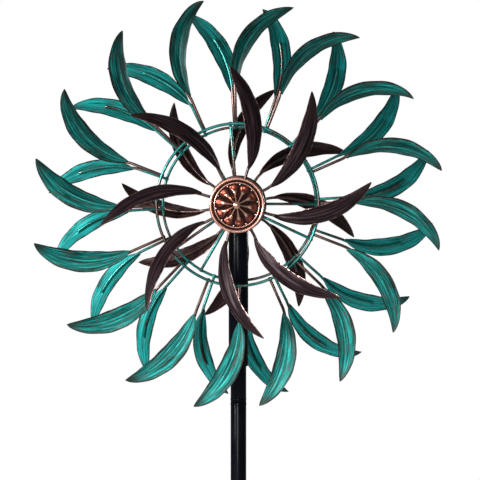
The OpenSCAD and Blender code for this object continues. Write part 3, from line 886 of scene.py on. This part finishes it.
FINISHES = {
    ("front", "outer"): leaf_finish(
        "verdigris_front", [(0.0, (0.003, 0.020, 0.019)), (0.3, (0.004, 0.080, 0.070)),
                            (0.65, (0.008, 0.215, 0.19)), (1.0, (0.035, 0.50, 0.455))],
        (0.10, 0.075, 0.071), 0.8, (0.05, 0.026, 0.022), 0.10, (0.035, 0.04, 0.036),
        0.3, 0.36, 0.58),
    ("rear", "outer"): leaf_finish(
        "verdigris_rear", [(0.0, (0.004, 0.05, 0.045)), (0.35, (0.008, 0.23, 0.21)),
                           (1.0, (0.02, 0.56, 0.53))],
        (0.10, 0.05, 0.045), 0.6, (0.04, 0.035, 0.03), 0.07, (0.03, 0.045, 0.04),
        0.3, 0.36, 0.55),
    # The bronze leaves' pale pink edge colour is worn copper on the rounded sheet edge, made paler
    # as a painted highlight.
    ("front", "inner"): leaf_finish(
        "bronze_front", [(0.0, (0.006, 0.003, 0.004)), (0.5, (0.019, 0.010, 0.013)),
                         (1.0, (0.085, 0.055, 0.06))],
        (0.045, 0.018, 0.021), 0.5, (0.60, 0.38, 0.35), 0.024, (0.04, 0.024, 0.024),
        0.3, 0.28, 0.44),
    ("rear", "inner"): leaf_finish(
        "bronze_rear", [(0.0, (0.008, 0.0035, 0.004)), (0.5, (0.026, 0.011, 0.012)),
                        (1.0, (0.085, 0.045, 0.045))],
        (0.06, 0.024, 0.022), 0.5, (0.50, 0.30, 0.27), 0.024, (0.04, 0.024, 0.024),
        0.3, 0.28, 0.44),
}

# Pitch of the leaves in degrees: the middle value, how far it swings round the wheel, and the
# angle on the wheel where the leaves lie flattest.
PITCH = {("front", "outer"): (43, 13, 238), ("front", "inner"): (34, 10, 20),
         ("rear", "outer"): (38, 4, 130), ("rear", "inner"): (29, 7, 230)}

for side, place in SIDES.items():
    for kind_name, kind in KINDS.items():
        middle, swing, flattest = PITCH[side, kind_name]
        leaves = leaves_of(side, kind_name)
        groups = 4 if kind_name == "outer" else 1
        each = kind.count // groups
        for group in range(groups):
            bm = bmesh.new()
            bm.loops.layers.uv.new("UVMap")
            tone_layer = bm.verts.layers.float.new("leaf_tone")
            for i in range(group * each, (group + 1) * each):
                pitch = middle - swing * math.cos(leaves[i][0] - math.radians(flattest))
                tone = (i * 7 % kind.count + 0.5) / kind.count
                lay_leaf(bm, tone_layer, kind, leaves[i], math.radians(pitch), tone)
            name = f"{side}_{kind_name}_leaf_blades"
            replaced = f"{side}_{kind_name}_leaves"
            if groups > 1:
                name += f"_{group + 1}"
                replaced += f"_{group + 1}"
            blades = finished(bm, name, side + "_wheel", FINISHES[side, kind_name],
                              [replaced], crease=60, place=place)
            sheet = blades.modifiers.new("sheet", "SOLIDIFY")
            sheet.thickness = LEAF_SHEET
            sheet.offset = 0
            edge = blades.modifiers.new("edge", "BEVEL")
            edge.width = 0.0003
            edge.segments = 2
            edge.limit_method = "ANGLE"
            edge.angle_limit = math.radians(50)

# ----------------------------------------------------------
# Wheel welds. A small lumpy bead where each outer stem and each spoke crosses the ring, and at the
# foot of each inner stem on the disc. They are sprayed verdigris with the ring.

BEAD_R = 0.0032
FOOT_IN = 0.004
for side, place in SIDES.items():
    bm = bmesh.new()
    crossing_z = (stem_z + ring_z) / 2
    beads = [(leaf[0], ring_r, crossing_z) for leaf in leaves_of(side, "outer")]
    beads += [(math.radians(SPOKE_AT[side] + 360 / SPOKES * spoke), ring_r, crossing_z)
              for spoke in range(SPOKES)]
    beads += [(leaf[0], disc_r - FOOT_IN, inner_height - rod_r * 0.7)
              for leaf in leaves_of(side, "inner")]
    for angle, radius, height in beads:
        made = bmesh.ops.create_icosphere(bm, subdivisions=2, radius=BEAD_R)
        lump = random.Random(round(angle * 1000))
        for v in made["verts"]:
            v.co *= 1 + lump.uniform(-0.08, 0.08)
        bmesh.ops.scale(bm, vec=(1.0, 1.25, 0.8), verts=made["verts"])
        bmesh.ops.translate(bm, vec=(radius, 0, height), verts=made["verts"])
        turn_about(bm, made["verts"], angle)
    finished(bm, side + "_wheel_welds", side + "_wheel", green_rod, place=place)

# ----------------------------------------------------------
# Rosette cap. A pressed cup over the hub's end carries a rolled rim and a stamped rosette of ten
# trumpet-shaped petals with a narrow rib between each pair, held by a domed rivet. Copper plated,
# with dark patina left in the hollows.


def copper_finish(name, bright, crest, patina, roughness, patina_start, patina_end):
    """Copper plate, rubbed bright on its crests in a pale colour that is also a painted highlight,
    and dark where its hollow attribute is high.
    """
    made, tree, shader = new_finish(name, {"Metallic": 0.8})
    place_at = new_node(tree, "TexCoord")
    deep = new_node(tree, "Attribute", attribute_name="hollow")
    wear = new_node(tree, "Group", node_tree=rubbed)
    wear.inputs["Size"].default_value = 160.0
    wire(place_at, "Object", wear, "Vector")
    uneven = calc(wear, "Height", "MULTIPLY_ADD", {1: 0.35, 2: -0.17})
    total = calc(deep, "Fac", "ADD")
    wire(uneven, "Value", total, 1)
    cut = new_node(tree, "MapRange", {"From Min": patina_start, "From Max": patina_end},
                   interpolation_type="SMOOTHSTEP")
    wire(total, "Value", cut, "Value")
    warm = ramp(wear, "Tone", [(0.3, tuple(0.6 * c for c in bright)), (0.7, bright)])
    # The crest colour laid where the hollow total is low is rubbed copper, made pale as a painted
    # highlight.
    crest_rub_and_highlight_mask = new_node(tree, "MapRange",
                            {"From Min": 0.26, "From Max": 0.08, "To Min": 0.0, "To Max": 0.9})
    wire(total, "Value", crest_rub_and_highlight_mask, "Value")
    rubbed_and_highlighted = laid_over(warm, "Color", crest_rub_and_highlight_mask, "Result", crest)
    colour = laid_over(rubbed_and_highlighted, "Result", cut, "Result", patina)
    wire(colour, "Result", shader, "Base Color")
    ranged(cut, "Result", shader, "Roughness", {"To Min": roughness, "To Max": roughness + 0.3})
    raised(wear, "Height", shader, 0.15, 0.0003)
    return made


polished = copper_finish("polished_copper", (0.72, 0.27, 0.19), (0.86, 0.44, 0.34),
                         (0.05, 0.02, 0.016), 0.20, 0.5, 0.9)
# The stamped rosette's cream crests are a painted highlight over rubbed copper.
stamped = copper_finish("stamped_copper", (0.34, 0.085, 0.055), (0.98, 0.72, 0.55),
                        (0.008, 0.003, 0.004), 0.20, 0.42, 0.80)

cap_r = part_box("front_cap_rim")[1].x
rim_r = (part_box("front_cap_rim")[1].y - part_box("front_cap_rim")[0].y) / 2
rim_z = sum(span("front_cap_rim")) / 2
plate_near = span("front_cap_rosette")[0]
plate_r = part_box("front_cap_rosette")[1].x
rivet_near, rivet_far = span("front_cap_rivet")
cup_near, cup_far = span("front_cap_cup")
cup_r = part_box("front_cap_cup")[1].x
CUP_WALL = 0.0012
CUP_BEVEL = 0.0045
PETALS = 10
FIRST_PETAL_AT = math.radians(99)
petal_from, petal_to = 0.0056, 0.0308
SPINE_HIGH = 0.0050
SPOON_LOWER = 0.0034
GAP_RIB_FROM = 0.0088
GAP_RIB_LONG = 0.0100
GAP_RIB_HIGH = 0.0030
bead_at = 0.0303
floor_z = plate_near + 0.0009
inner_bead_r = plate_r - 0.0034


def petal_half(share):
    """Half-width of a petal: a narrow spine that flares to a broad round end."""
    flare = 0.0016 + 0.0022 * share + 0.0039 * smooth_step((share - 0.35) / 0.5)
    return flare * math.sqrt(max(1 - max(0.0, (share - 0.8) / 0.2) ** 2.2, 0.02))


def lay_petal(bm, hollow_layer, angle):
    """Shapes a grid into one petal: a high round spine that sinks into a shallow spoon."""
    made = bmesh.ops.create_grid(bm, x_segments=20, y_segments=10, size=0.5)
    for v in made["verts"]:
        share = v.co.x + 0.5
        across = 2 * v.co.y
        spoon = smooth_step((share - 0.45) / 0.35)
        crest = SPINE_HIGH - SPOON_LOWER * spoon
        round_off = 1 - abs(across) ** (1.3 + 1.5 * spoon)
        ending = 1 - smooth_step((share - 0.93) / 0.07) * 0.8
        v.co = Vector((petal_from + (petal_to - petal_from) * share, petal_half(share) * across,
                       floor_z + crest * max(round_off, 0.0) * ending))
        v[hollow_layer] = (0.34 * spoon + (0.62 - 0.2 * spoon) * abs(across) ** 3
                           + 0.2 * smooth_step((share - 0.9) / 0.1))
    turn_about(bm, made["verts"], angle)


def lay_rib(bm, hollow_layer, angle):
    """A narrow raised rib in the gap between two petals, and the bead at the gap's mouth."""
    made = bmesh.ops.create_grid(bm, x_segments=10, y_segments=4, size=0.5)
    for v in made["verts"]:
        share = v.co.x + 0.5
        across = 2 * v.co.y
        half = 0.0011 * math.sin(math.pi * min(max(share, 0.04), 0.96)) + 0.0002
        v.co = Vector((GAP_RIB_FROM + GAP_RIB_LONG * share, half * across,
                       floor_z + GAP_RIB_HIGH * (1 - 0.9 * across ** 2) * (1 - 0.55 * share)))
        v[hollow_layer] = 0.5 + 0.3 * across ** 2
    turn_about(bm, made["verts"], angle)
    bead = bmesh.ops.create_icosphere(bm, subdivisions=2, radius=0.0013)
    bmesh.ops.translate(bm, vec=(bead_at * math.cos(angle), bead_at * math.sin(angle),
                                 floor_z + 0.0009), verts=bead["verts"])


for side, place in SIDES.items():
    wheel = side + "_wheel"
    # Cup
    bm = bmesh.new()
    turned(bm, [(barrel_r, cup_near), (cup_r - CUP_BEVEL, cup_near), (cup_r, cup_near + CUP_BEVEL),
                (cup_r, cup_far), (cup_r - CUP_WALL, cup_far), (cup_r - CUP_WALL, cup_near + 0.005),
                (cup_r - 0.005, cup_near + CUP_WALL), (barrel_r, cup_near + CUP_WALL)])
    ease_edges(bm, 0.0005, sharper_than=30)
    finished(bm, side + "_cap_cup_shell", wheel, polished,
             [side + "_cap_cup"], place=place)
    # Rolled rim, with the fine inner bead that the roll leaves
    bm = bmesh.new()
    for radius, thick, height in ((cap_r - rim_r, rim_r, rim_z),
                                  (inner_bead_r, 0.0009, floor_z + 0.0004)):
        hoop(bm, radius, thick, height, 20, 128)
    merge(bm)
    finished(bm, side + "_cap_rolled_rim", wheel, polished,
             [side + "_cap_rim"], place=place)
    # Rosette: a dished plate, dark all over, with the bright petals and ribs raised on it
    bm = bmesh.new()
    hollow_layer = bm.verts.layers.float.new("hollow")
    turned(bm, [(0, plate_near), (plate_r, plate_near), (plate_r, plate_near + 0.0007),
                (inner_bead_r, floor_z), (0.016, floor_z), (0, floor_z)])
    for v in bm.verts:
        v[hollow_layer] = 1.0
    for petal in range(PETALS):
        turn = 2 * math.pi / PETALS * petal + FIRST_PETAL_AT
        lay_petal(bm, hollow_layer, turn)
        lay_rib(bm, hollow_layer, turn + math.pi / PETALS)
    finished(bm, side + "_cap_stamped_rosette", wheel, stamped,
             [side + "_cap_rosette"], crease=60, place=place)
    # Rivet: a domed button with a beaded collar
    bm = bmesh.new()
    turned(bm, [(0, rivet_near), (0.002, rivet_near), (0.002, rivet_far - 0.0032),
                (0.0050, rivet_far - 0.0032), (0.0054, rivet_far - 0.0026),
                (0.0048, rivet_far - 0.0018), (0.0038, rivet_far - 0.0014),
                (0.0034, rivet_far - 0.0007), (0.002, rivet_far - 0.0001), (0, rivet_far)],
           steps=40)
    finished(bm, side + "_cap_domed_rivet", wheel, polished,
             [side + "_cap_rivet"], place=place)

# ----------------------------------------------------------
# Studio. A pale round floor under the stake, a white surround and three soft lamps. The camera
# stands before the front wheel, a little above and right of the hub, and looks slightly down.

FLOOR_R = 3.0
FLOOR_GAP = 0.0005
floor_mesh = bmesh.new()
bmesh.ops.create_circle(floor_mesh, cap_ends=True, radius=FLOOR_R, segments=128)
bmesh.ops.translate(floor_mesh, vec=(0, 0, cad_box[0][2] - FLOOR_GAP), verts=list(floor_mesh.verts))
floor_data = bpy.data.meshes.new("floor")
floor_mesh.to_mesh(floor_data)
floor_mesh.free()
floor = bpy.data.objects.new("floor", floor_data)
bpy.context.scene.collection.objects.link(floor)
pale = {"Base Color": (0.86, 0.86, 0.86, 1), "Roughness": 0.7}
floor_data.materials.append(new_finish("pale_floor", pale)[0])

world = bpy.data.worlds.new("white_surround")
bpy.context.scene.world = world
world.use_nodes = True
sky = world.node_tree
backdrop = sky.nodes["Background"]
backdrop.inputs["Color"].default_value = (1, 1, 1, 1)
seen = new_node(sky, "LightPath")
diffuse_share = new_node(sky, "MapRange", {"To Min": 0.12, "To Max": 0.17})
wire(seen, "Is Diffuse Ray", diffuse_share, "Value")
strength = calc(diffuse_share, "Result", "MAXIMUM")
wire(seen, "Is Camera Ray", strength, 1)
wire(strength, "Value", backdrop, "Strength")

aim = Vector((0, 0, axle_z))
for name, spot, width, height, power in (("key", (-1.5, -1.25, axle_z + 0.4), 0.5, 0.7, 43),
                                         ("front", (-0.45, -2.2, axle_z + 0.2), 0.6, 1.0, 14),
                                         ("rim", (1.3, 1.3, axle_z + 0.4), 0.25, 0.9, 10)):
    lamp = bpy.data.lights.new(name, "AREA")
    lamp.shape = "RECTANGLE"
    lamp.size = width
    lamp.size_y = height
    lamp.energy = power
    holder = bpy.data.objects.new(name, lamp)
    holder.location = spot
    holder.rotation_euler = (aim - Vector(spot)).to_track_quat("-Z", "Y").to_euler()
    bpy.context.scene.collection.objects.link(holder)

camera_data = bpy.data.cameras.new("camera")
camera_data.lens = 87.2
camera_data.sensor_width = 36
camera = bpy.data.objects.new("camera", camera_data)
camera.location = (0.05, -1.770, axle_z + 0.025)
camera.rotation_euler = (math.radians(87.435), 0, math.radians(1.54))
bpy.context.scene.collection.objects.link(camera)
bpy.context.scene.camera = camera
bpy.context.scene.view_settings.view_transform = "Standard"
